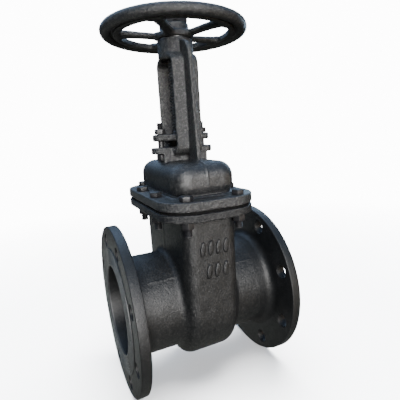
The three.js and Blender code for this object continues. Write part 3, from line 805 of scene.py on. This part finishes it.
add_ring("backseat_bush", (14.4, 20, 236.3, 241.7), "valve_body", "brass")
add_ring("thrust_washer", (20, 24.5, 414.2, 415.7, 0.2), "valve_body", "bright_steel")
add_ring("hub_washer", (20, 26, 437.3, 438.7, 0.2), "valve_body", "bright_steel")
for i in range(3):
    bottom = 249.9 + 4.3 * i
    add_ring(f"packing_ring_{i + 1}", (14.4, 21.7, bottom, bottom + 4, 1), "valve_body", "packing")

bush = [(14.4, 263.3), (14.9, 262.8), (21.2, 262.8), (21.7, 263.3), (21.7, 273.4), (24, 273.4)]
bush += [(24.5, 273.9), (24.5, 276.2), (24, 276.7), (14.9, 276.7), (14.4, 276.2)]
# the gland bush here and the stem nut below are painted near black as painted shade
finish_piece(turned("gland bush", bush), "valve_body", "brass", ["gland_bush"], "brass_with_painted_shade")

nut_foot = [(14.4, 407.5), (14.9, 407), (24, 407), (24.5, 407.5), (24.5, 413.4), (24, 413.9), (19.5, 413.9)]
nut_top = [(19.5, 438.7), (18, 438.7), (18, 461), (16.5, 461)]
nut_top += [(16.5, 473), (15.5, 474), (15.4, 474), (14.4, 473)]
finish_piece(turned("stem nut", nut_foot + nut_top), "wheel", "brass", ["stem_nut"], "brass_with_painted_shade")

spindle_profile = [(9, 62.8), (9, 81.6), (17.2, 81.6), (17.5, 82), (17.5, 84), (14, 86), (14, 291.5)]
spindle = turned_mesh("spindle", spindle_profile, 96)
thread = threaded_mesh("thread", STEM_R, 2.4, THREAD_PITCH, 291, 478, 72, 0.3, 14)
head_corner_r = math.hypot(*STEM_HEAD)
head = turned_mesh("head", [(head_corner_r, 62.3), (head_corner_r, 71.7)], 4)
for vertex in head.vertices:
    vertex.co.x = math.copysign(STEM_HEAD[0], vertex.co.x + 0.001 * vertex.co.y)
    vertex.co.y = math.copysign(STEM_HEAD[1], vertex.co.y - 0.001 * vertex.co.x)
stem = show("stem", place(merged("stem", [spindle, thread, head])))
soften(stem.data, 40)
finish_piece(stem, "stem", "bright_steel", ["stem"])

# ------------------------------------------------------------------ fasteners

def add_fastener(name, mesh, centre, body_name, node, spin=0.0):
    """An object of a shared mesh, placed at a centre in millimetres."""
    piece = show(name, mesh)
    away = Matrix.Translation((centre[0] * MM, centre[1] * MM, 0))
    piece.matrix_world = away @ Matrix.Rotation(spin, 4, "Z")
    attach(piece, body_name)
    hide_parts(node)


def fastener_mesh(name, meshes):
    """One painted mesh of a fastener's parts."""
    mesh = place(merged(name, meshes))
    mesh.materials.append(MATERIALS["painted_fastener"])
    soften(mesh, 34)
    return mesh


bonnet_bolt = fastener_mesh("bonnet bolt", [
    hexagon_mesh("head", 18, 191.9, 199.4),
    turned_mesh("shank", [(6, 150.5), (6, 192.5)], 48),
    threaded_mesh("thread", 6, 0.95, 1.75, 139, 151, 40, 0.12, 10),
])
bonnet_nut = fastener_mesh("bonnet nut", [hexagon_mesh("nut", 18, 149.9, 160.7, 6.3, True)])
gland_bolt = fastener_mesh("gland bolt", [
    hexagon_mesh("head", 16, 245, 255.5, both_ends=True),
    turned_mesh("shank", [(5, 255), (5, 287)], 40),
    threaded_mesh("thread", 5, 0.85, 1.5, 286.5, 307, 40, 0.12, 10),
])
gland_nut = fastener_mesh("gland nut", [hexagon_mesh("nut", 16, 288.3, 296.8, 5.3, True)])

for i, centre in enumerate(BONNET_BOLTS):
    add_fastener(f"bonnet bolt {i + 1}", bonnet_bolt, centre, "valve_body", f"bonnet_bolt_{i + 1}", 0.7 * i)
    add_fastener(f"bonnet nut {i + 1}", bonnet_nut, centre, "valve_body", f"bonnet_nut_{i + 1}", 1.1 * i)
for label, side in (("left", -1), ("right", 1)):
    centre = (side * GLAND_BOLT_X, 0)
    add_fastener(f"gland bolt {label}", gland_bolt, centre, "valve_body", f"gland_bolt_{label}")
    add_fastener(f"gland nut {label}", gland_nut, centre, "valve_body", f"gland_nut_{label}", 0.4 * side)

wheel_nut = fastener_mesh("wheel nut", [hexagon_mesh("nut", 41, 461.3, 473, 16.9, True)])
add_fastener("handwheel nut", wheel_nut, (0, 0), "wheel", "handwheel_nut", 0.3)

# the gasket's near black is partly painted shade in the flange gap
for name, material in (("handwheel_key", "bright_steel"), ("bonnet_gasket", "gasket")):
    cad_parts[name].data.materials.clear()
    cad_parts[name].data.materials.append(MATERIALS[material])


# ------------------------------------------------------------------ cast marks on the chamber

def cast_mark(name, centre_x, centre_z):
    """A plain raised lozenge, standing where the foundry puts its marks."""
    half_width, half_height = MARK_HALF
    bm = bmesh.new()
    rise = [(0, 1.0), (1.6, 0.96), (2.6, 0.8), (3, 0.55)]
    rings = []
    for height, share in rise:
        ring = []
        for i in range(16):
            angle = i * math.pi / 8
            c, s = math.cos(angle), math.sin(angle)
            x = half_width * share * math.copysign(abs(c) ** 0.8, c)
            z = half_height * share * math.copysign(abs(s) ** 1.5, s)
            leaning_x = x + MARK_TILT * z
            ring.append(bm.verts.new((centre_x + leaning_x, -CHAMBER_R + 0.4 - height, centre_z + z)))
        rings.append(ring)
    for low, high in zip(rings, rings[1:]):
        for i in range(16):
            k = (i + 1) % 16
            bm.faces.new((low[i], low[k], high[k], high[i]))
    bm.faces.new(rings[-1])
    bm.faces.new(rings[0][::-1])
    mesh = bpy.data.meshes.new(name)
    bm.to_mesh(mesh)
    bm.free()
    soften(place(mesh), 60)
    return show(name, mesh)


for row, (height, first_x, count, pitch) in enumerate(MARK_ROWS):
    for i in range(count):
        mark = cast_mark(f"cast mark {row + 1}-{i + 1}", first_x + pitch * i, height)
        finish_piece(mark, "valve_body", "cast_black_paint")


# ------------------------------------------------------------------ stage

def camera():
    """The eye's place and lens are those of the reference view."""
    azimuth = math.radians(-25.47)
    elevation = math.radians(10.95)
    roll = math.radians(3.26)
    eye = Vector((-0.2241, -0.5580, 0.2840 + PIPE_Z))
    data = bpy.data.cameras.new("camera")
    data.sensor_width = 36
    data.lens = 30.8
    data.shift_x = -0.017
    data.shift_y = 0.002
    data.clip_start = 0.01
    viewer = bpy.data.objects.new("camera", data)
    bpy.context.scene.collection.objects.link(viewer)
    look = Matrix.Rotation(azimuth, 4, "Z") @ Matrix.Rotation(math.pi / 2 - elevation, 4, "X")
    viewer.matrix_world = Matrix.Translation(eye) @ look @ Matrix.Rotation(-roll, 4, "Z")
    bpy.context.scene.camera = viewer


def soft_light(name, direction, distance, size, power, colour):
    """A rectangle of light that looks at the valve's middle and isn't seen itself."""
    data = bpy.data.lights.new(name, "AREA")
    data.shape = "RECTANGLE"
    data.size, data.size_y = size
    data.energy = power
    data.color = colour
    lamp = bpy.data.objects.new(name, data)
    bpy.context.scene.collection.objects.link(lamp)
    towards = Vector(direction).normalized()
    lamp.location = Vector((0, 0, 0.3)) + distance * towards
    lamp.rotation_euler = (-towards).to_track_quat("-Z", "Y").to_euler()
    lamp.visible_camera = False
    return lamp


def glowing(name, strength):
    material = bpy.data.materials.new(name)
    material.use_nodes = True
    nodes = material.node_tree.nodes
    nodes.remove(nodes["Principled BSDF"])
    glow = nodes.new("ShaderNodeEmission")
    glow.inputs["Strength"].default_value = strength
    material.node_tree.links.new(glow.outputs["Emission"], nodes["Material Output"].inputs["Surface"])
    return material


def disc_mesh(name, radius):
    bm = bmesh.new()
    bmesh.ops.create_circle(bm, cap_ends=True, segments=96, radius=radius)
    mesh = bpy.data.meshes.new(name)
    bm.to_mesh(mesh)
    bm.free()
    return mesh


FLOOR_R = 1.7
FLOOR_FADE = (0.5, 1.6)  # distances between which the floor fades out, in metres
BACKDROP_R = 12
# share of the way from straight down to straight up, and the sky's colour there
SKY_STOPS = (
    (0.32, (0.05, 0.05, 0.048)),
    (0.44, (0.025, 0.025, 0.024)),
    (0.54, (0.05, 0.065, 0.09)),
    (0.68, (0.12, 0.18, 0.27)),
    (0.82, (0.3, 0.46, 0.72)),
)


def studio():
    """A pale floor that fades into a white backdrop, and an open-air sky of soft light."""
    material, nodes, links, shader = new_material("floor")
    shader.inputs["Base Color"].default_value = (0.8, 0.8, 0.8, 1)
    shader.inputs["Roughness"].default_value = 0.9
    place_node = nodes.new("ShaderNodeTexCoord")
    reach = nodes.new("ShaderNodeVectorMath")
    reach.operation = "LENGTH"
    links.new(place_node.outputs["Object"], reach.inputs[0])
    links.new(mapped(nodes, links, reach.outputs["Value"], 1, 0, *FLOOR_FADE), shader.inputs["Alpha"])
    mesh = disc_mesh("floor", FLOOR_R)
    mesh.materials.append(material)
    floor = show("floor", mesh)

    bm = bmesh.new()
    bmesh.ops.create_uvsphere(bm, u_segments=48, v_segments=24, radius=BACKDROP_R)
    mesh = bpy.data.meshes.new("backdrop")
    bm.to_mesh(mesh)
    bm.free()
    mesh.materials.append(glowing("backdrop", 13))
    backdrop = show("backdrop", mesh)
    for stage in (floor, backdrop):
        stage.visible_diffuse = False
        stage.visible_glossy = False
        stage.visible_shadow = False

    world = bpy.data.worlds.new("world")
    bpy.context.scene.world = world
    world.use_nodes = True
    nodes, links = world.node_tree.nodes, world.node_tree.links
    place_node = nodes.new("ShaderNodeTexCoord")
    direction = nodes.new("ShaderNodeSeparateXYZ")
    ramp = nodes.new("ShaderNodeValToRGB")
    links.new(place_node.outputs["Generated"], direction.inputs["Vector"])
    links.new(mapped(nodes, links, direction.outputs["Z"], 0, 1, -1, 1), ramp.inputs["Fac"])
    links.new(ramp.outputs["Color"], nodes["Background"].inputs["Color"])
    nodes["Background"].inputs["Strength"].default_value = 1
    stops = ramp.color_ramp.elements
    stops[0].position, stops[0].color = 0, (0.26, 0.27, 0.25, 1)
    stops[1].position, stops[1].color = 1, (0.55, 0.75, 1.1, 1)
    for position, colour in SKY_STOPS:
        stops.new(position).color = (*colour, 1)

    soft_light("key", (-0.22, -0.94, 0.22), 2.2, (0.7, 1.0), 112, (1, 0.98, 0.96))
    soft_light("front", (0.1, -0.95, 0.2), 2.2, (1.4, 1.2), 8, (1, 0.98, 0.95))
    soft_light("sky", (0, 0.2, 1), 2.0, (1.6, 1.6), 10, (0.7, 0.85, 1))
    soft_light("low front", (0.35, -0.88, -0.4), 1.8, (1.3, 0.5), 4, (1, 0.82, 0.6))
    soft_light("warm side", (0.9, -0.5, -0.05), 2.2, (0.6, 0.6), 7, (1, 0.8, 0.6))
    soft_light("behind left", (-0.5, 0.86, -0.5), 2.2, (1.4, 0.9), 4, (0.93, 1, 0.97))
    soft_light("left", (-0.8, 0.45, 0.4), 2.2, (1.0, 0.4), 3, (0.9, 0.97, 1))
    soft_light("blue edge", (0.75, 0.62, 0.25), 2.4, (1.2, 0.6), 12, (0.6, 0.8, 1))
    soft_light("sky behind", (0.1, 0.8, 0.85), 2.4, (2.6, 1.6), 30, (0.5, 0.7, 1))
    below = soft_light("floor light", (0.1, 0.1, 1), 2.6, (2.6, 2.6), 980, (1, 1, 1))
    lit = bpy.data.collections.new("lit by the floor light")
    lit.objects.link(floor)
    below.light_linking.receiver_collection = lit


camera()
studio()
